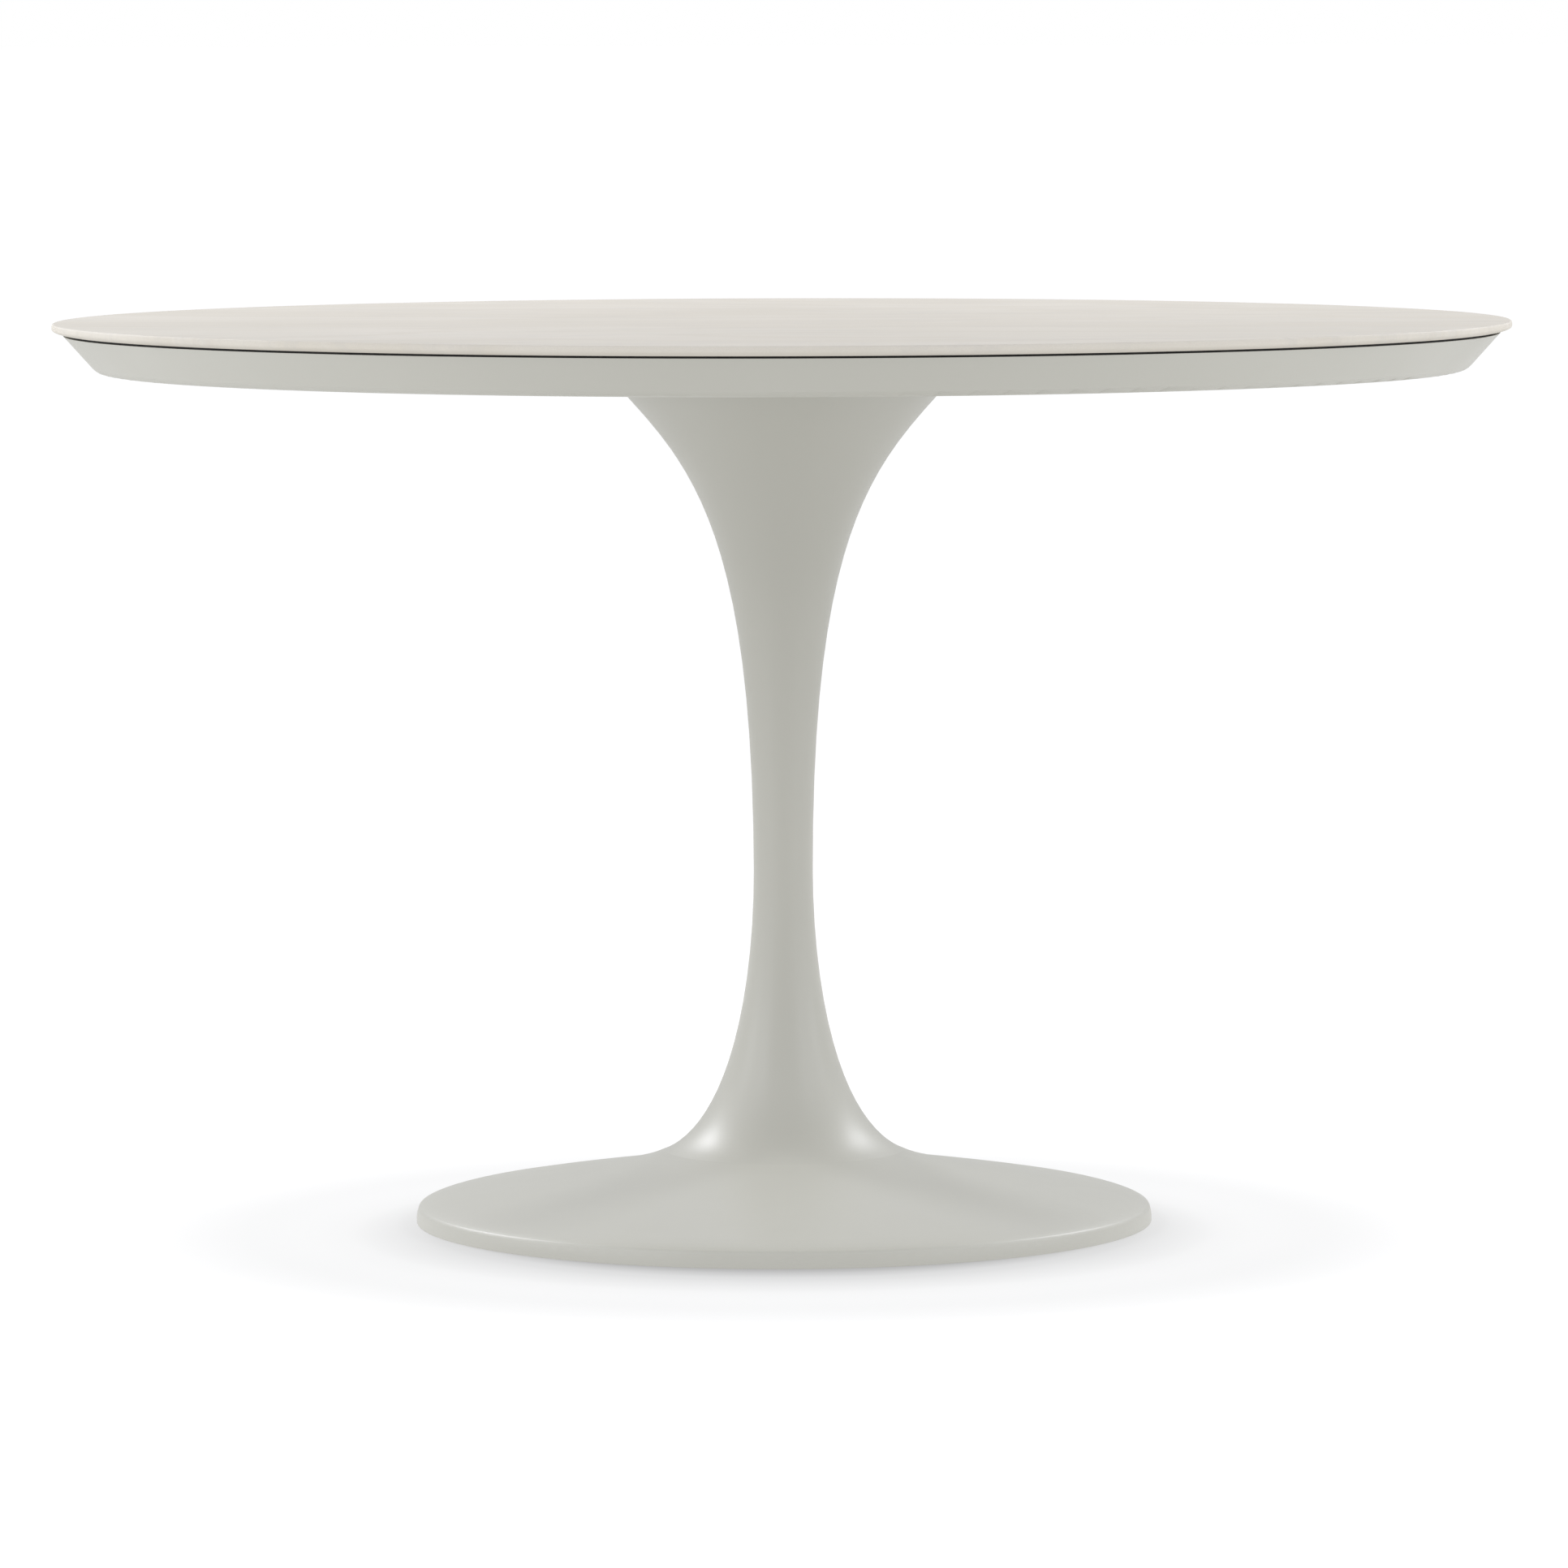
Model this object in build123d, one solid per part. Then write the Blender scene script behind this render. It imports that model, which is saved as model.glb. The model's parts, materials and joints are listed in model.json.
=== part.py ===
from build123d import *
import os

# Round pedestal dining table. Millimetres, +Z up, floor at Z = 0, pedestal axis on Z.
# Threads are plain cylinders at their outer diameter.

# ---- Heights of the stack, from the floor up ----
rim_bottom = 0.8
flange_top = 701.4
plate_thickness = 5.0
carrier_thickness = 30.7
gap_height = 1.7
slab_thickness = 8.2
plate_top = flange_top + plate_thickness
carrier_top = plate_top + carrier_thickness
slab_bottom = carrier_top + gap_height
table_height = slab_bottom + slab_thickness

# ---- Stone slab: widest at its nose, bevelled underneath, with a small upper arris ----
slab_radius = 600.0
slab_top_radius = 597.8
slab_bottom_radius = 590.0
nose_height = 4.0
arris_start = 1.2
arris_reach = 0.3
bevel_pull = (5.5, 0.6)
nose_pull = 2.2

# ---- Shadow gap between the slab and its carrier ----
spacer_outer_radius = 587.5
spacer_inner_radius = 563.0
pad_radius = 10.0
pad_rings = ((170.0, 4), (430.0, 8))

# ---- Carrier board under the slab ----
carrier_top_radius = 590.5
carrier_bottom_radius = 563.0
carrier_corner_radius = 13.0

# ---- Steel mounting plate between carrier and pedestal ----
plate_radius = 210.0
plate_edge_chamfer = 1.0
top_screw_circle = 190.0
top_screw_count = 8
flange_bolt_circle = 100.0
flange_bolt_count = 6

# ---- Screws through the plate into the carrier (M6 button head) ----
m6_radius = 3.0
m6_clearance_radius = 3.3
m6_head_radius = 5.25
m6_head_height = 3.3
m6_socket_width = 4.0
m6_reach = 12.5
m6_washer_radius = 6.0
m6_washer_thickness = 1.6
insert_radius = 5.0
insert_length = 15.0
thread_gap = 0.05

# ---- Bolts through the plate into the pedestal flange (M8 countersunk) ----
m8_radius = 4.0
m8_clearance_radius = 4.5
m8_csk_head_radius = 8.0
m8_csk_head_height = 4.0
m8_csk_socket_width = 5.0
flange_bolt_length = 14.0

# ---- Pedestal casting: outer outline as (radius, height) ----
waist = (24.5, 290.8)
flare_control = ((24.5, 589.4), (81.7, 632.5))
flange_radius = 142.9
foot_control = ((24.5, 218.3), (37.6, 88.0))
foot_end = (98.3, 58.9)
dish_control = ((135.4, 41.1), (194.2, 37.3))
dish_end = (280.0, 21.1)
shoulder_control = ((290.0, 19.2), (298.3, 16.8))
shoulder = (301.8, 14.6)
turn_control = (303.2, 13.7)
turn_end = (303.7, 12.0)
rim_control = ((304.4, 9.6), (305.0, 7.5))
rim_radius = 305.0
rim_straight_top = 4.0
rim_straight_bottom = 1.4
rim_bottom_radius = 304.4
rim_inner_radius = 297.0
flange_thickness = 10.0
# the casting's inside: the outer controls moved in by about 6 mm
bore_waist = (18.5, 290.8)
bore_flare_control = ((18.5, 592.4), (77.6, 636.9))
bore_flare_radius = 125.2
bore_foot_control = ((18.5, 218.0), (32.0, 84.0))
bore_foot_end = (95.7, 53.5)
bore_dish_control = ((135.1, 34.6), (200.4, 31.0))
bore_shoulder = (290.0, 13.1)
rim_inside_top = 10.0

# ---- Cast-iron ballast ring inside the base ----
ballast_inner_radius = 60.0
ballast_outer_radius = 190.0
ballast_bottom = 8.0
ballast_top = 25.0
ballast_seat = 17.0
ballast_edge = 1.5
ballast_bolt_circle = 125.0
ballast_bolt_count = 4
ballast_bolt_start = 0.0
ballast_boss_radius = 12.0
ballast_pocket_radius = 12.0
m8_hex_width = 13.0
m8_hex_height = 5.3
m8_washer_radius = 8.4
m8_washer_thickness = 1.6
ballast_bolt_tip = 37.0
boss_overlap = 6.0

# ---- Cover under the base, and its screws (M4 pan head) ----
cover_radius = 294.0
cover_bottom = 4.0
cover_top = 6.0
cover_glide_hole_radius = 20.0
cover_screw_circle = 272.0
cover_screw_count = 6
cover_screw_start = 15.0
cover_boss_radius = 6.0
m4_radius = 2.0
m4_clearance_radius = 2.3
m4_head_radius = 3.8
m4_head_height = 2.1
m4_slot_width = 1.0
m4_slot_depth = 1.0
m4_tip = 13.0

# ---- Levelling glides: a foot that stays still on the floor, and a screw that turns in it ----
glide_circle = 235.0
glide_count = 4
glide_start = 45.0
glide_boss_radius = 11.0
glide_boss_bottom = 7.0
bush_radius = 6.0
bush_top = 22.0
glide_hole_top = 22.3
glide_hole_radius = 6.05
running_gap = 0.06
screw_top = 21.5
collar_width = 17.0
collar_bottom = 4.2
collar_top = 7.0
screw_tip_chamfer = 0.8
swivel_radius = 6.5
swivel_bottom = 2.4
swivel_top = 3.3
socket_radius = 7.0
socket_top = 3.4
foot_radius = 18.0
foot_top = 4.0
foot_edge = 0.8
sole_thickness = 1.2
sole_radius = 17.0

UP = (Align.CENTER, Align.CENTER, Align.MIN)


def rod(radius, bottom, top):
    """A solid cylinder on the Z axis."""
    return Pos(0, 0, bottom) * Cylinder(radius, top - bottom, align=UP)


def ring(outer, inner, bottom, top):
    """A flat ring on the Z axis."""
    return rod(outer, bottom, top) - rod(inner, bottom, top)


def hexagon(width, bottom, top):
    """A hexagonal prism on the Z axis, its width measured across the flats."""
    outline = RegularPolygon(width / 2, 6, major_radius=False)
    return Pos(0, 0, bottom) * extrude(outline, top - bottom)


def turned(*edges):
    """The solid that a closed outline of (radius, height) edges sweeps round the Z axis."""
    return revolve(Plane.XZ * make_face(Curve() + list(edges)), Axis.Z)


def around(radius, count, start, piece):
    """Copies of a piece, evenly spaced on a circle round the Z axis."""
    return [place * piece for place in PolarLocations(radius, count, start)]


def group(pieces):
    """Separate solids kept together in one node."""
    return Compound([solid for piece in pieces for solid in piece.solids()])


# ---- Top ----


def make_table_top():
    """Stone slab: flat top, small upper arris, and a bevel that bulges out to the nose."""
    nose = (slab_radius, table_height - nose_height)
    bevel_control = (slab_bottom_radius + bevel_pull[0], slab_bottom + bevel_pull[1])
    below_nose = (slab_radius, nose[1] - nose_pull)
    below_arris = (slab_radius, table_height - arris_start)
    above_arris = (slab_radius - arris_reach, table_height)
    bevel = Bezier((slab_bottom_radius, slab_bottom), bevel_control, below_nose, nose)
    edge = Bezier(nose, below_arris, above_arris, (slab_top_radius, table_height))
    rest = Polyline(
        (slab_top_radius, table_height),
        (0, table_height),
        (0, slab_bottom),
        (slab_bottom_radius, slab_bottom),
    )
    return turned(bevel, edge, rest)


def make_shadow_gap_spacer():
    """Black rubber ring set back from the edge, so that the slab floats over a dark line."""
    return ring(spacer_outer_radius, spacer_inner_radius, carrier_top, slab_bottom)


def make_slab_pads():
    """Clear silicone discs that bed the slab inside the spacer."""
    pad = rod(pad_radius, carrier_top, slab_bottom)
    return group(copy for circle, count in pad_rings for copy in around(circle, count, 0, pad))


def make_top_carrier():
    """Lacquered board whose side slopes in towards a rounded lower corner."""
    outline = Polyline(
        (0, carrier_top),
        (carrier_top_radius, carrier_top),
        (carrier_bottom_radius, plate_top),
        (0, plate_top),
        close=True,
    )
    face = make_face(outline)
    corner = face.vertices().group_by(Axis.Y)[0].sort_by(Axis.X)[-1]
    face = fillet(corner, carrier_corner_radius)
    board = revolve(Plane.XZ * face, Axis.Z)
    pocket = rod(insert_radius, plate_top, plate_top + insert_length)
    return board - around(top_screw_circle, top_screw_count, 0, pocket)


def make_carrier_inserts():
    """Threaded sleeves set in the underside of the carrier."""
    sleeve = ring(insert_radius, m6_radius + thread_gap, plate_top, plate_top + insert_length)
    return group(around(top_screw_circle, top_screw_count, 0, sleeve))


def make_mounting_plate():
    """Steel disc that spreads the pedestal's load into the carrier."""
    plate = chamfer(rod(plate_radius, flange_top, plate_top).edges().group_by(Axis.Z)[0], plate_edge_chamfer)
    screw_hole = rod(m6_clearance_radius, flange_top, plate_top)
    bolt_hole = rod(m8_clearance_radius, flange_top, plate_top)
    sink_depth = m8_csk_head_height + thread_gap
    sink = Pos(0, 0, plate_top - sink_depth) * Cone(
        m8_clearance_radius, m8_csk_head_radius + thread_gap, sink_depth, align=UP
    )
    plate -= around(top_screw_circle, top_screw_count, 0, screw_hole)
    return plate - around(flange_bolt_circle, flange_bolt_count, 0, bolt_hole + sink)


def make_flange_bolts():
    """Countersunk bolts, flush with the plate, that hold it on the pedestal."""
    head_bottom = plate_top - m8_csk_head_height
    shank = rod(m8_radius, plate_top - flange_bolt_length, head_bottom)
    head = Pos(0, 0, head_bottom) * Cone(m8_radius, m8_csk_head_radius, m8_csk_head_height, align=UP)
    socket = hexagon(m8_csk_socket_width, plate_top - m8_csk_head_height / 2, plate_top)
    return group(around(flange_bolt_circle, flange_bolt_count, 0, shank + head - socket))


def make_top_screws():
    """Button-head screws from below, through washer and plate into the carrier's inserts."""
    head_top = flange_top - m6_washer_thickness
    head_bottom = head_top - m6_head_height
    head = rod(m6_head_radius, head_bottom, head_top)
    head = fillet(head.edges().group_by(Axis.Z)[0], m6_head_height / 2)
    shank = rod(m6_radius, head_top, plate_top + m6_reach)
    socket = hexagon(m6_socket_width, head_bottom, head_bottom + m6_head_height / 2)
    return group(around(top_screw_circle, top_screw_count, 0, head + shank - socket))


def make_top_screw_washers():
    """Flat washers under the top screws' heads."""
    washer = ring(m6_washer_radius, m6_clearance_radius, flange_top - m6_washer_thickness, flange_top)
    return group(around(top_screw_circle, top_screw_count, 0, washer))


# ---- Pedestal ----


def casting_outside():
    """The whole outer form of the pedestal, solid: flange, flare, waist, foot, dish and rim."""
    flare = Bezier((flange_radius, flange_top), flare_control[1], flare_control[0], waist)
    foot = Bezier(waist, *foot_control, foot_end)
    dish = Bezier(foot_end, *dish_control, dish_end)
    fall = Bezier(dish_end, *shoulder_control, shoulder)
    turn = Bezier(shoulder, turn_control, turn_end)
    rim = Bezier(turn_end, *rim_control, (rim_radius, rim_straight_top))
    side = Line((rim_radius, rim_straight_top), (rim_radius, rim_straight_bottom))
    edge = Bezier(
        (rim_radius, rim_straight_bottom),
        (rim_radius, rim_bottom),
        (rim_bottom_radius, rim_bottom),
    )
    rest = Polyline(
        (rim_bottom_radius, rim_bottom),
        (0, rim_bottom),
        (0, flange_top),
        (flange_radius, flange_top),
    )
    return turned(flare, foot, dish, fall, turn, rim, side, edge, rest)


def casting_hollow():
    """The space inside the casting, open at the bottom and closed by the flange at the top."""
    flare_end = (bore_flare_radius, flange_top - flange_thickness)
    flare = Bezier(flare_end, bore_flare_control[1], bore_flare_control[0], bore_waist)
    foot = Bezier(bore_waist, *bore_foot_control, bore_foot_end)
    dish = Bezier(bore_foot_end, *bore_dish_control, bore_shoulder)
    rest = Polyline(
        bore_shoulder,
        (rim_inner_radius, rim_inside_top),
        (rim_inner_radius, rim_bottom),
        (0, rim_bottom),
        (0, flare_end[1]),
        flare_end,
    )
    return turned(flare, foot, dish, rest)


def make_pedestal():
    """One hollow casting, with bosses under the base for the ballast, the glides and the cover."""
    outside = casting_outside()
    hollow = casting_hollow()
    ballast_boss = rod(ballast_boss_radius, ballast_top, foot_end[1])
    glide_boss = rod(glide_boss_radius, glide_boss_bottom, glide_hole_top + boss_overlap)
    cover_boss = rod(cover_boss_radius, cover_top, m4_tip + boss_overlap)
    bosses = around(ballast_bolt_circle, ballast_bolt_count, ballast_bolt_start, ballast_boss)
    bosses += around(glide_circle, glide_count, glide_start, glide_boss)
    bosses += around(cover_screw_circle, cover_screw_count, cover_screw_start, cover_boss)
    casting = (outside - hollow) + [boss & outside for boss in bosses]
    tapped = rod(m8_radius + thread_gap, ballast_top, ballast_bolt_tip)
    bush_hole = rod(glide_hole_radius, glide_boss_bottom, glide_hole_top)
    cover_hole = rod(m4_radius + thread_gap, cover_top, m4_tip)
    flange_hole = rod(m8_radius + thread_gap, flange_top - flange_thickness, flange_top)
    casting -= around(ballast_bolt_circle, ballast_bolt_count, ballast_bolt_start, tapped)
    casting -= around(glide_circle, glide_count, glide_start, bush_hole)
    casting -= around(cover_screw_circle, cover_screw_count, cover_screw_start, cover_hole)
    return casting - around(flange_bolt_circle, flange_bolt_count, 0, flange_hole)


def make_ballast_ring():
    """Cast-iron ring that keeps the table from tipping, with pockets for its bolt heads."""
    body = ring(ballast_outer_radius, ballast_inner_radius, ballast_bottom, ballast_top)
    body = chamfer(body.edges().filter_by(GeomType.CIRCLE), ballast_edge)
    pocket = rod(ballast_pocket_radius, ballast_bottom, ballast_seat)
    hole = rod(m8_clearance_radius, ballast_seat, ballast_top)
    return body - around(ballast_bolt_circle, ballast_bolt_count, ballast_bolt_start, pocket + hole)


def make_ballast_bolts():
    """Hexagon bolts up through the ballast ring into the casting's bosses."""
    head_top = ballast_seat - m8_washer_thickness
    head = hexagon(m8_hex_width, head_top - m8_hex_height, head_top)
    bolt = head + rod(m8_radius, head_top, ballast_bolt_tip)
    return group(around(ballast_bolt_circle, ballast_bolt_count, ballast_bolt_start, bolt))


def make_ballast_washers():
    """Flat washers under the ballast bolts' heads."""
    washer = ring(m8_washer_radius, m8_clearance_radius, ballast_seat - m8_washer_thickness, ballast_seat)
    return group(around(ballast_bolt_circle, ballast_bolt_count, ballast_bolt_start, washer))


def make_base_cover():
    """Thin plastic disc that closes the underside, with round windows for the glides."""
    cover = rod(cover_radius, cover_bottom, cover_top)
    window = rod(cover_glide_hole_radius, cover_bottom, cover_top)
    screw_hole = rod(m4_clearance_radius, cover_bottom, cover_top)
    cover -= around(glide_circle, glide_count, glide_start, window)
    return cover - around(cover_screw_circle, cover_screw_count, cover_screw_start, screw_hole)


def make_cover_screws():
    """Slotted pan-head screws that hold the cover."""
    head_bottom = cover_bottom - m4_head_height
    head = rod(m4_head_radius, head_bottom, cover_bottom)
    head = fillet(head.edges().group_by(Axis.Z)[0], m4_slot_depth)
    slot = Pos(0, 0, head_bottom) * Box(2 * m4_head_radius, m4_slot_width, m4_slot_depth, align=UP)
    screw = head + rod(m4_radius, cover_bottom, m4_tip) - slot
    return group(around(cover_screw_circle, cover_screw_count, cover_screw_start, screw))


def make_glide_bushes():
    """Brass threaded bushes in the glide bosses."""
    bush = ring(bush_radius, m8_radius + running_gap, glide_boss_bottom, bush_top)
    return group(around(glide_circle, glide_count, glide_start, bush))


# ---- Levelling glides ----


def make_glide_screw():
    """Stud with a hexagonal collar, and a disc below it that is captive in the foot."""
    stud = rod(m8_radius, swivel_bottom, screw_top)
    stud = chamfer(stud.edges().group_by(Axis.Z)[-1], screw_tip_chamfer)
    collar = hexagon(collar_width, collar_bottom, collar_top)
    return stud + collar + rod(swivel_radius, swivel_bottom, swivel_top)


def make_glide_foot():
    """Plastic foot with a snap-in socket, in which the screw's disc turns."""
    body = rod(foot_radius, sole_thickness, foot_top)
    body = chamfer(body.edges().group_by(Axis.Z)[-1], foot_edge)
    body -= rod(socket_radius, swivel_bottom, socket_top)
    return body - rod(m8_radius + running_gap, swivel_bottom, foot_top)


def make_glide_sole():
    """Felt disc under the foot."""
    return rod(sole_radius, 0, sole_thickness)


os.makedirs("parts", exist_ok=True)

fixed_pieces = {
    "table_top": make_table_top(),
    "shadow_gap_spacer": make_shadow_gap_spacer(),
    "slab_pads": make_slab_pads(),
    "top_carrier": make_top_carrier(),
    "carrier_inserts": make_carrier_inserts(),
    "mounting_plate": make_mounting_plate(),
    "flange_bolts": make_flange_bolts(),
    "top_screws": make_top_screws(),
    "top_screw_washers": make_top_screw_washers(),
    "pedestal": make_pedestal(),
    "ballast_ring": make_ballast_ring(),
    "ballast_bolts": make_ballast_bolts(),
    "ballast_washers": make_ballast_washers(),
    "base_cover": make_base_cover(),
    "cover_screws": make_cover_screws(),
    "glide_bushes": make_glide_bushes(),
}
for node, shape in fixed_pieces.items():
    export_step(shape, f"parts/{node}.step")

glide_pieces = {
    "glide_screw": make_glide_screw(),
    "glide_foot": make_glide_foot(),
    "glide_sole": make_glide_sole(),
}
for node, shape in glide_pieces.items():
    for number, copy in enumerate(around(glide_circle, glide_count, glide_start, shape), start=1):
        export_step(copy, f"parts/{node}_{number}.step")
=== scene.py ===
import json
import math

import bpy
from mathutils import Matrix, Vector
from mathutils.geometry import interpolate_bezier


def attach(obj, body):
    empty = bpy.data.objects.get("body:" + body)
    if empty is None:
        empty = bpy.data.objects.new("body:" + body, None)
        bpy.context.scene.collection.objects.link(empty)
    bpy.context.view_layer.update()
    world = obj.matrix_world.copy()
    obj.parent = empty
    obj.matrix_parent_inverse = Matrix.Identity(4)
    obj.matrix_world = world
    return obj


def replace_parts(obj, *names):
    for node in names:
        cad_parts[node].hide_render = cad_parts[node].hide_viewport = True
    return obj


# Round pedestal table. Metres, floor at Z = 0, pedestal axis on Z; the camera looks along +Y.

MM_PER_METRE = 1000.0

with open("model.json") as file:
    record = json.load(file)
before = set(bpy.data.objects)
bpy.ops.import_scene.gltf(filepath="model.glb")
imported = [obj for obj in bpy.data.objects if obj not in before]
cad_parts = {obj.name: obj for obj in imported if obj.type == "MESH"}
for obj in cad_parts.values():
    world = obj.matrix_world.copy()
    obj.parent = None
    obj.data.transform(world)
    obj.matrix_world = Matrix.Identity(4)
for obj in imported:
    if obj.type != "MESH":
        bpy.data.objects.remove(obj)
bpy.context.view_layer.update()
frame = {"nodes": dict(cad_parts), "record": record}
nodes = frame["nodes"]
scene = bpy.context.scene


# ---- Node helpers ----

# sockets of a Mix node that mixes colours
MIX_FACTOR, MIX_FIRST, MIX_SECOND, MIX_RESULT = 0, 6, 7, 2


def grey(value):
    return (value, value, value, 1.0)


def srgb(red, green, blue):
    """A linear colour from 0 to 255 display values, by the standard sRGB curve."""
    out = []
    for value in (red, green, blue):
        part = value / 255.0
        out.append(part / 12.92 if part <= 0.04045 else ((part + 0.055) / 1.055) ** 2.4)
    return tuple(out)


def add_ramp(tree, source, stops, blend):
    """A colour ramp from (position, colour) stops; a number stands for a grey."""
    node = tree.nodes.new("ShaderNodeValToRGB")
    node.color_ramp.interpolation = blend
    elements = node.color_ramp.elements
    while len(elements) < len(stops):
        elements.new(1.0)
    for element, (position, colour) in zip(elements, stops):
        element.position = position
        element.color = grey(colour) if isinstance(colour, (int, float)) else (*colour, 1.0)
    tree.links.new(source, node.inputs["Fac"])
    return node.outputs["Color"]


def add_mix(tree, factor, first, second):
    """Mixes two colours, each a socket or an (r, g, b), by a socket or a number."""
    node = tree.nodes.new("ShaderNodeMix")
    node.data_type = "RGBA"
    for index, value in ((MIX_FACTOR, factor), (MIX_FIRST, first), (MIX_SECOND, second)):
        socket = node.inputs[index]
        if isinstance(value, bpy.types.NodeSocket):
            tree.links.new(value, socket)
        else:
            socket.default_value = value if isinstance(value, float) else (*value, 1.0)
    return node.outputs[MIX_RESULT]


class Maker:
    """Builds one material's node tree, in object coordinates (metres)."""

    def __init__(self, name):
        self.material = bpy.data.materials.new(name)
        self.material.use_nodes = True
        self.tree = self.material.node_tree
        self.shader = self.tree.nodes["Principled BSDF"]
        self.place = self.tree.nodes.new("ShaderNodeTexCoord").outputs["Object"]

    def link(self, source, target):
        self.tree.links.new(source, target)

    def connect(self, socket, source):
        """Feeds one of the Principled shader's sockets."""
        self.link(source, self.shader.inputs[socket])

    def set(self, **values):
        """Sets uniform values on the Principled shader's own sockets."""
        for key, value in values.items():
            self.shader.inputs[key.replace("_", " ")].default_value = value

    def mapping(self, scale, rotation=(0, 0, 0), location=(0, 0, 0)):
        node = self.tree.nodes.new("ShaderNodeMapping")
        node.inputs["Scale"].default_value = scale
        node.inputs["Rotation"].default_value = rotation
        node.inputs["Location"].default_value = location
        self.link(self.place, node.inputs["Vector"])
        return node.outputs["Vector"]

    def noise(self, scale, detail=4.0, roughness=0.5, distortion=0.0, vector=None):
        node = self.tree.nodes.new("ShaderNodeTexNoise")
        node.inputs["Scale"].default_value = scale
        node.inputs["Detail"].default_value = detail
        node.inputs["Roughness"].default_value = roughness
        node.inputs["Distortion"].default_value = distortion
        self.link(vector or self.place, node.inputs["Vector"])
        return node.outputs["Fac"]

    def cells(self, scale):
        """Distance to the nearest of many scattered points: rounded grains."""
        node = self.tree.nodes.new("ShaderNodeTexVoronoi")
        node.inputs["Scale"].default_value = scale
        self.link(self.place, node.inputs["Vector"])
        return node.outputs["Distance"]

    def ramp(self, source, stops, blend="EASE"):
        return add_ramp(self.tree, source, stops, blend)

    def mix(self, factor, first, second):
        return add_mix(self.tree, factor, first, second)

    def bump(self, height, distance, strength, under=None):
        """Bumps as high as distance, in metres, laid over another bump node if one is given."""
        node = self.tree.nodes.new("ShaderNodeBump")
        node.inputs["Distance"].default_value = distance
        node.inputs["Strength"].default_value = strength
        self.link(height, node.inputs["Height"])
        if under is not None:
            self.link(under, node.inputs["Normal"])
        return node.outputs["Normal"]


# ---- Materials ----


def lacquer(name, colour, roughness, peel):
    """Sprayed satin lacquer: faint orange peel, faint change of tone, uneven gloss."""
    m = Maker(name)
    tone = m.noise(scale=3.0, detail=3.0)
    darker = tuple(part * 0.97 for part in colour)
    m.connect("Base Color", m.mix(tone, darker, colour))
    cloud = m.noise(scale=9.0, detail=5.0)
    m.connect("Roughness", m.ramp(cloud, [(0.3, roughness - 0.03), (0.7, roughness + 0.04)]))
    coarse = m.bump(m.noise(scale=420.0, detail=2.0), distance=0.00004, strength=peel)
    fine_peel = m.noise(scale=2600.0, detail=1.0)
    m.connect("Normal", m.bump(fine_peel, distance=0.00001, strength=peel, under=coarse))
    m.set(Specular_IOR_Level=0.5)
    return m.material


def stone(name):
    """Honed off-white stone: clouded tone, faint brown and grey veins aslant, fine grain."""
    m = Maker(name)
    cloud = m.noise(scale=2.6, detail=6.0, roughness=0.55)
    tone = m.ramp(cloud, [(0.30, srgb(202, 197, 186)), (0.70, srgb(207, 202, 192))])
    broad_way = m.mapping(scale=(0.55, 2.6, 1.0), rotation=(0.0, 0.0, math.radians(34)))
    broad = m.noise(scale=2.3, detail=7.0, roughness=0.60, distortion=0.9, vector=broad_way)
    brown = m.ramp(broad, [(0.42, 0.0), (0.50, 0.26), (0.58, 0.0)])
    veined = m.mix(brown, tone, srgb(192, 185, 171))
    thin_way = m.mapping(
        scale=(0.7, 3.4, 1.0),
        rotation=(0.0, 0.0, math.radians(-26)),
        location=(3.1, 1.7, 0.0),
    )
    thin = m.noise(scale=2.9, detail=9.0, roughness=0.62, distortion=1.4, vector=thin_way)
    ash = m.ramp(thin, [(0.47, 0.0), (0.505, 0.24), (0.54, 0.0)])
    veined = m.mix(ash, veined, srgb(190, 187, 181))
    grain = m.ramp(m.noise(scale=900.0, detail=3.0), [(0.35, 0.10), (0.65, 0.0)])
    m.connect("Base Color", m.mix(grain, veined, srgb(178, 172, 162)))
    m.connect("Roughness", m.ramp(cloud, [(0.3, 0.56), (0.7, 0.64)]))
    pores = m.noise(scale=1400.0, detail=3.0)
    m.connect("Normal", m.bump(pores, distance=0.00002, strength=0.6))
    m.set(Specular_IOR_Level=0.12)
    return m.material


def rubber(name):
    """Extruded black rubber: dusty patches and a fine matt grain."""
    m = Maker(name)
    dust = m.noise(scale=35.0, detail=6.0)
    m.connect("Base Color", m.ramp(dust, [(0.42, srgb(24, 23, 22)), (0.75, srgb(44, 42, 39))]))
    m.connect("Roughness", m.ramp(m.noise(scale=80.0), [(0.3, 0.66), (0.7, 0.80)]))
    grain = m.noise(scale=1800.0, detail=3.0)
    m.connect("Normal", m.bump(grain, distance=0.00005, strength=0.7))
    return m.material


def silicone(name):
    """Milky silicone with tiny bubbles in it."""
    m = Maker(name)
    cloud = m.noise(scale=90.0)
    milky = m.ramp(cloud, [(0.3, srgb(196, 197, 196)), (0.7, srgb(212, 212, 209))])
    bubbles = m.ramp(m.cells(scale=420.0), [(0.08, 0.5), (0.16, 0.0)])
    m.connect("Base Color", m.mix(bubbles, milky, srgb(228, 229, 228)))
    m.connect("Normal", m.bump(m.noise(scale=260.0), distance=0.00006, strength=0.5))
    m.set(Roughness=0.34, Subsurface_Weight=0.25, Subsurface_Scale=0.002)
    return m.material


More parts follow.
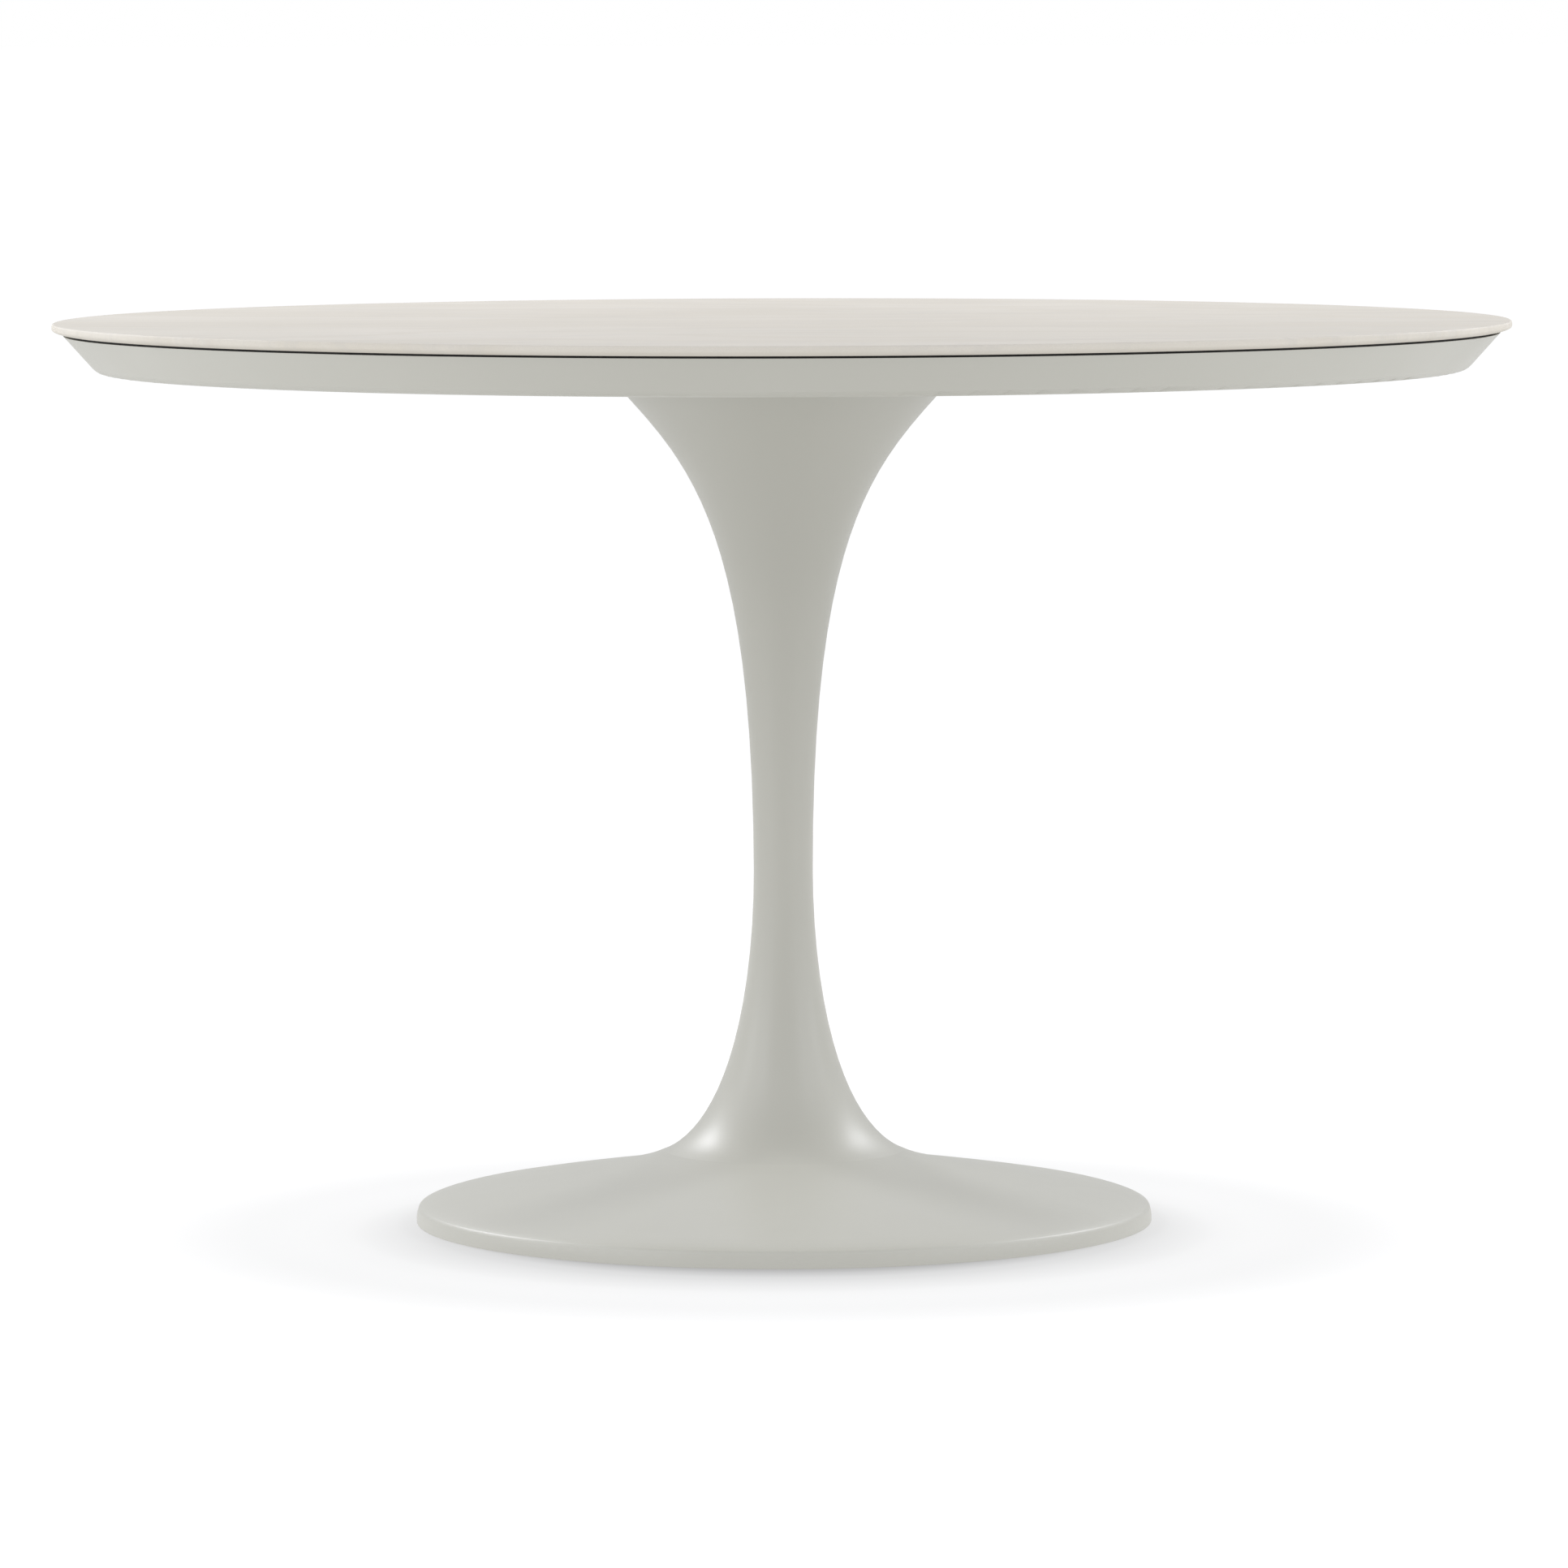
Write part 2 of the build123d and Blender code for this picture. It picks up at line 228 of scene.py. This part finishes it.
def powder_coat(name):
    """Black powder coat on sheet steel: pebbled skin with a few rubbed spots."""
    m = Maker(name)
    rubbed = m.noise(scale=22.0, detail=7.0)
    m.connect("Base Color", m.ramp(rubbed, [(0.45, srgb(36, 36, 37)), (0.80, srgb(58, 57, 56))]))
    m.connect("Roughness", m.ramp(m.noise(scale=60.0), [(0.3, 0.48), (0.7, 0.60)]))
    pebbles = m.bump(m.noise(scale=780.0, detail=2.0), distance=0.00009, strength=0.8)
    grit = m.noise(scale=3000.0)
    m.connect("Normal", m.bump(grit, distance=0.00002, strength=0.4, under=pebbles))
    m.set(Specular_IOR_Level=0.45)
    return m.material


def zinc_plate(name):
    """Zinc-plated steel: bluish and straw-coloured patches, drawing lines, small stains."""
    m = Maker(name)
    cloud = m.noise(scale=150.0, detail=5.0)
    patches = m.ramp(cloud, [(0.35, srgb(181, 186, 193)), (0.68, srgb(203, 199, 188))])
    spots = m.noise(scale=420.0, detail=6.0, roughness=0.65)
    stains = m.ramp(spots, [(0.58, 0.0), (0.72, 0.45)])
    m.connect("Base Color", m.mix(stains, patches, srgb(142, 140, 136)))
    lines = m.noise(scale=240.0, vector=m.mapping(scale=(1.0, 1.0, 14.0)))
    m.connect("Roughness", m.ramp(lines, [(0.3, 0.26), (0.7, 0.42)]))
    m.connect("Normal", m.bump(lines, distance=0.00003, strength=0.5))
    m.set(Metallic=1.0)
    return m.material


def sand_cast_iron(name):
    """Raw grey iron as it leaves a sand mould: pitted skin, dull scale, a little rust."""
    m = Maker(name)
    skin = m.noise(scale=28.0, detail=7.0)
    scale = m.ramp(skin, [(0.35, srgb(44, 43, 42)), (0.70, srgb(70, 68, 66))])
    spots = m.noise(scale=60.0, detail=8.0, roughness=0.62)
    rust = m.ramp(spots, [(0.56, 0.0), (0.72, 0.55)])
    m.connect("Base Color", m.mix(rust, scale, srgb(98, 66, 46)))
    dulling = m.noise(scale=90.0, detail=5.0)
    m.connect("Roughness", m.ramp(dulling, [(0.3, 0.62), (0.7, 0.86)]))
    sand = m.noise(scale=420.0, detail=5.0, roughness=0.6)
    sandy = m.bump(sand, distance=0.00035, strength=0.8)
    m.connect("Normal", m.bump(m.cells(scale=160.0), distance=0.00030, strength=0.4, under=sandy))
    m.set(Metallic=0.35)
    return m.material


def turned_brass(name):
    """Turned brass: tool lines round the bush, slightly tarnished."""
    m = Maker(name)
    tarnish = m.noise(scale=220.0, detail=6.0)
    tone = m.ramp(tarnish, [(0.40, srgb(206, 172, 104)), (0.75, srgb(168, 131, 74))])
    m.connect("Base Color", tone)
    lines = m.noise(scale=300.0, detail=3.0, vector=m.mapping(scale=(0.3, 0.3, 9.0)))
    m.connect("Roughness", m.ramp(lines, [(0.3, 0.24), (0.7, 0.40)]))
    m.connect("Normal", m.bump(lines, distance=0.00004, strength=0.6))
    m.set(Metallic=1.0)
    return m.material


def grained_plastic(name, dark, light, cell_scale, roughness):
    """Moulded plastic with a leathery grain, greyed where it has been handled."""
    m = Maker(name)
    worn = m.ramp(m.noise(scale=45.0, detail=6.0), [(0.40, dark), (0.75, light)])
    m.connect("Base Color", worn)
    gloss = m.noise(scale=70.0)
    m.connect("Roughness", m.ramp(gloss, [(0.3, roughness - 0.05), (0.7, roughness + 0.06)]))
    leather = m.bump(m.cells(cell_scale), distance=0.00012, strength=0.7)
    grit = m.noise(scale=cell_scale * 4.0)
    m.connect("Normal", m.bump(grit, distance=0.00003, strength=0.4, under=leather))
    m.set(Specular_IOR_Level=0.4)
    return m.material


def needled_felt(name):
    """Pressed felt: short fibres that lie two ways, flecks of lighter wool."""
    m = Maker(name)
    fibre = (0.25, 1.6, 1.0)
    lie = m.mapping(scale=fibre)
    turned_lie = m.mapping(scale=fibre, rotation=(0.0, 0.0, math.radians(65)))
    one_way = m.noise(scale=700.0, detail=5.0, distortion=1.5, vector=lie)
    other_way = m.noise(scale=820.0, detail=5.0, distortion=1.5, vector=turned_lie)
    wool = m.ramp(one_way, [(0.35, srgb(92, 88, 82)), (0.70, srgb(124, 119, 111))])
    flecks = m.ramp(other_way, [(0.60, 0.0), (0.75, 0.6)])
    m.connect("Base Color", m.mix(flecks, wool, srgb(150, 146, 138)))
    under = m.bump(one_way, distance=0.00030, strength=0.9)
    m.connect("Normal", m.bump(other_way, distance=0.00025, strength=0.8, under=under))
    m.set(Roughness=0.96, Sheen_Weight=0.3, Specular_IOR_Level=0.2)
    return m.material


LACQUER = srgb(183, 182, 173)
looks = {
    "stone": stone("stone"),
    "black_rubber": rubber("black_rubber"),
    "silicone": silicone("silicone"),
    "carrier_lacquer": lacquer("carrier_lacquer", LACQUER, roughness=0.44, peel=0.35),
    "pedestal_lacquer": lacquer("pedestal_lacquer", LACQUER, roughness=0.42, peel=0.5),
    "plate_steel": powder_coat("plate_steel"),
    "zinc_steel": zinc_plate("zinc_steel"),
    "raw_iron": sand_cast_iron("raw_iron"),
    "brass_bush": turned_brass("brass_bush"),
    "cover_plastic": grained_plastic(
        "cover_plastic", srgb(34, 34, 34), srgb(50, 49, 48), cell_scale=520.0, roughness=0.58
    ),
    "foot_plastic": grained_plastic(
        "foot_plastic", srgb(40, 40, 41), srgb(56, 55, 54), cell_scale=900.0, roughness=0.48
    ),
    "felt": needled_felt("felt"),
}
slot_of = {part["node"]: part["material_slot"] for part in frame["record"]["subparts"]}
for name, piece in nodes.items():
    for material_slot in piece.material_slots:
        material_slot.material = looks[slot_of[name]]


# ---- A finer mesh for the slab, whose edge carries a thin highlight ----

TURN_STEPS = 720
CURVE_STEPS = 12


def curve(start, pull_one, pull_two, end):
    """Points along a cubic curve, its end left out."""
    corners = [Vector((*point, 0.0)) for point in (start, pull_one, pull_two, end)]
    return [tuple(p[:2]) for p in interpolate_bezier(*corners, CURVE_STEPS)][:-1]


def lathe(name, outline, slot_name):
    """A solid of revolution; its outline runs from axis to axis in (radius, height) millimetres."""
    turns = [math.tau * i / TURN_STEPS for i in range(TURN_STEPS)]
    directions = [(math.cos(t), math.sin(t)) for t in turns]
    points = [(0.0, 0.0, outline[0][1] / MM_PER_METRE)]
    for radius, height in outline[1:-1]:
        z = height / MM_PER_METRE
        points += [(x * radius / MM_PER_METRE, y * radius / MM_PER_METRE, z) for x, y in directions]
    points.append((0.0, 0.0, outline[-1][1] / MM_PER_METRE))
    last = len(points) - 1
    faces = []
    for i in range(TURN_STEPS):
        j = (i + 1) % TURN_STEPS
        faces.append((0, 1 + j, 1 + i))
        for row in range(len(outline) - 3):
            low, high = 1 + row * TURN_STEPS, 1 + (row + 1) * TURN_STEPS
            faces.append((low + i, low + j, high + j, high + i))
        top = last - TURN_STEPS
        faces.append((top + i, top + j, last))
    mesh = bpy.data.meshes.new(name)
    mesh.from_pydata(points, [], faces)
    mesh.polygons.foreach_set("use_smooth", [True] * len(mesh.polygons))
    mesh.materials.append(looks[slot_name])
    piece = bpy.data.objects.new(name, mesh)
    scene.collection.objects.link(piece)
    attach(piece, "table")
    return piece


# the slab's edge in millimetres: a bevel below the nose, where it is widest, and an arris above it
SLAB_TOP, NOSE_HEIGHT, SLAB_UNDER = 747.0, 743.0, 738.8
NOSE_RADIUS, UPPER_RADIUS, UNDER_RADIUS = 599.98, 597.8, 590.0
BEVEL_PULL = (5.5, 0.6)  # outwards and upwards from the lower corner
NOSE_PULL = 2.2
ARRIS_START = 1.2
ARRIS_REACH = 0.3
SUPPORT = 0.4  # how close a second loop lies to a crisp edge
nose = (NOSE_RADIUS, NOSE_HEIGHT)
bevel = curve(
    (UNDER_RADIUS, SLAB_UNDER),
    (UNDER_RADIUS + BEVEL_PULL[0], SLAB_UNDER + BEVEL_PULL[1]),
    (NOSE_RADIUS, NOSE_HEIGHT - NOSE_PULL),
    nose,
)
arris = curve(
    nose,
    (NOSE_RADIUS, SLAB_TOP - ARRIS_START),
    (NOSE_RADIUS - ARRIS_REACH, SLAB_TOP),
    (UPPER_RADIUS, SLAB_TOP),
)
slab_outline = [
    (0.0, SLAB_UNDER),
    (UNDER_RADIUS - SUPPORT, SLAB_UNDER),
    *bevel,
    *arris,
    (UPPER_RADIUS, SLAB_TOP),
    (UPPER_RADIUS - SUPPORT, SLAB_TOP),
    (0.0, SLAB_TOP),
]
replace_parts(lathe("slab", slab_outline, "stone"), "table_top")


# ---- Floor, light and camera ----

FLOOR_HALF = 400.0
FLOOR_GLOW = 0.88
FLOOR_TONE = 0.17
SHADE_ON_TABLE = 0.91  # how much of the glow reaches the table itself
# the painted soft shadow is an oval round a point in front of the axis; each stop gives a distance
# in metres and how much of the glow is left there
SHADOW_SHIFT = (0.0, 0.06, 0.0)
SHADOW_OVAL = (1.05, 1.0, 1.0)
SHADOW_STOPS = [
    (0.24, 0.49),
    (0.26, 0.54),
    (0.285, 0.66),
    (0.31, 0.73),
    (0.365, 0.84),
    (0.40, 0.875),
    (0.475, 0.88),
    (0.54, 0.935),
    (0.60, 1.0),
]
# how bright the surroundings are, from the horizon up
SKY = [(0.0, 0.50), (0.20, 0.50), (0.45, 0.79), (0.70, 1.01), (1.0, 0.57)]
LIGHT_COLOUR = (0.99, 1.0, 1.045)
LIGHT_DISTANCE = 3.2
LIGHT_AIM = (0.0, 0.0, 0.08)
SIDE_SHARE = {"left": 1.04, "right": 0.89}
# each pair: degrees round from the camera's side, degrees up, size in metres, power in watts
LIGHT_PAIRS = {
    "behind": (128.9, 38.1, 0.8, 33.0),
    "beside": (80.0, 18.0, 1.2, 12.5),
    "before_low": (50.0, 15.0, 1.4, 9.1),
    "before_high": (47.0, 32.0, 0.8, 7.3),
}
SENSOR_WIDTH = 36.0
CAMERA_LENS = 207.3
CAMERA_REACH = 1000.0
CAMERA_PLACE = (0.0008, -7.446, 0.990)
CAMERA_DIP = 4.81
CAMERA_ROLL = -0.15


def make_floor():
    """A white floor with some light of its own, darkened round the base by a painted soft shadow.

    Seen from below it lets the view through.
    """
    mesh = bpy.data.meshes.new("floor")
    signs = [(-1, -1), (1, -1), (1, 1), (-1, 1)]
    corners = [(x * FLOOR_HALF, y * FLOOR_HALF, 0.0) for x, y in signs]
    mesh.from_pydata(corners, [], [(0, 1, 2, 3)])
    floor = bpy.data.objects.new("floor", mesh)
    scene.collection.objects.link(floor)
    m = Maker("floor_white")
    away = m.tree.nodes.new("ShaderNodeVectorMath")
    away.operation = "LENGTH"
    m.link(m.mapping(scale=SHADOW_OVAL, location=SHADOW_SHIFT), away.inputs[0])
    # painted shadow: the glow that the camera sees and the floor's own tone darken round the base
    painted_shadow = m.ramp(away.outputs["Value"], SHADOW_STOPS, blend="CARDINAL")
    seen = m.tree.nodes.new("ShaderNodeLightPath").outputs["Is Camera Ray"]
    m.connect("Emission Color", m.mix(seen, (SHADE_ON_TABLE,) * 3, painted_shadow))
    m.connect("Base Color", m.mix(painted_shadow, (0.0, 0.0, 0.0), (FLOOR_TONE,) * 3))
    m.set(Emission_Strength=FLOOR_GLOW, Roughness=1.0, Specular_IOR_Level=0.0)
    from_below = m.tree.nodes.new("ShaderNodeNewGeometry").outputs["Backfacing"]
    clear = m.tree.nodes.new("ShaderNodeBsdfTransparent")
    either = m.tree.nodes.new("ShaderNodeMixShader")
    m.link(from_below, either.inputs[0])
    m.link(m.shader.outputs[0], either.inputs[1])
    m.link(clear.outputs[0], either.inputs[2])
    m.link(either.outputs[0], m.tree.nodes["Material Output"].inputs["Surface"])
    mesh.materials.append(m.material)


def make_world():
    """Soft light from all round, strongest from well up; the backdrop itself is pure white."""
    world = bpy.data.worlds.new("studio")
    world.use_nodes = True
    tree = world.node_tree
    place = tree.nodes.new("ShaderNodeTexCoord").outputs["Generated"]
    parts = tree.nodes.new("ShaderNodeSeparateXYZ")
    tree.links.new(place, parts.inputs["Vector"])
    by_height = add_ramp(tree, parts.outputs["Z"], SKY, blend="LINEAR")
    tinted = tree.nodes.new("ShaderNodeVectorMath")
    tinted.operation = "MULTIPLY"
    tree.links.new(by_height, tinted.inputs[0])
    tinted.inputs[1].default_value = LIGHT_COLOUR
    seen = tree.nodes.new("ShaderNodeLightPath").outputs["Is Camera Ray"]
    colour = add_mix(tree, seen, tinted.outputs[0], (1.0, 1.0, 1.0))
    tree.links.new(colour, tree.nodes["Background"].inputs["Color"])
    scene.world = world


def make_lights():
    """Pairs of square studio lights, mirrored left and right, that look at the foot of the stem."""
    for name, (round_angle, up_angle, size, power) in LIGHT_PAIRS.items():
        for side, sign in (("left", -1.0), ("right", 1.0)):
            data = bpy.data.lights.new(f"{name}_{side}", "AREA")
            data.size = size
            data.energy = power * SIDE_SHARE[side]
            data.color = LIGHT_COLOUR
            light = bpy.data.objects.new(data.name, data)
            turn, lift = math.radians(round_angle), math.radians(up_angle)
            towards = Vector((
                sign * math.sin(turn) * math.cos(lift),
                -math.cos(turn) * math.cos(lift),
                math.sin(lift),
            ))
            light.location = Vector(LIGHT_AIM) + towards * LIGHT_DISTANCE
            light.rotation_euler = towards.to_track_quat("Z", "Y").to_euler()
            scene.collection.objects.link(light)


def make_camera():
    """A long lens, in front of the table and a little above it, dipped and rolled in degrees."""
    data = bpy.data.cameras.new("camera")
    data.sensor_width = SENSOR_WIDTH
    data.lens = CAMERA_LENS
    data.clip_end = CAMERA_REACH
    camera = bpy.data.objects.new("camera", data)
    camera.location = CAMERA_PLACE
    camera.rotation_euler = (math.radians(90 - CAMERA_DIP), 0.0, 0.0)
    camera.rotation_euler.rotate_axis("Z", math.radians(CAMERA_ROLL))
    scene.collection.objects.link(camera)
    scene.camera = camera


make_floor()
make_world()
make_lights()
make_camera()
scene.view_settings.view_transform = "Standard"
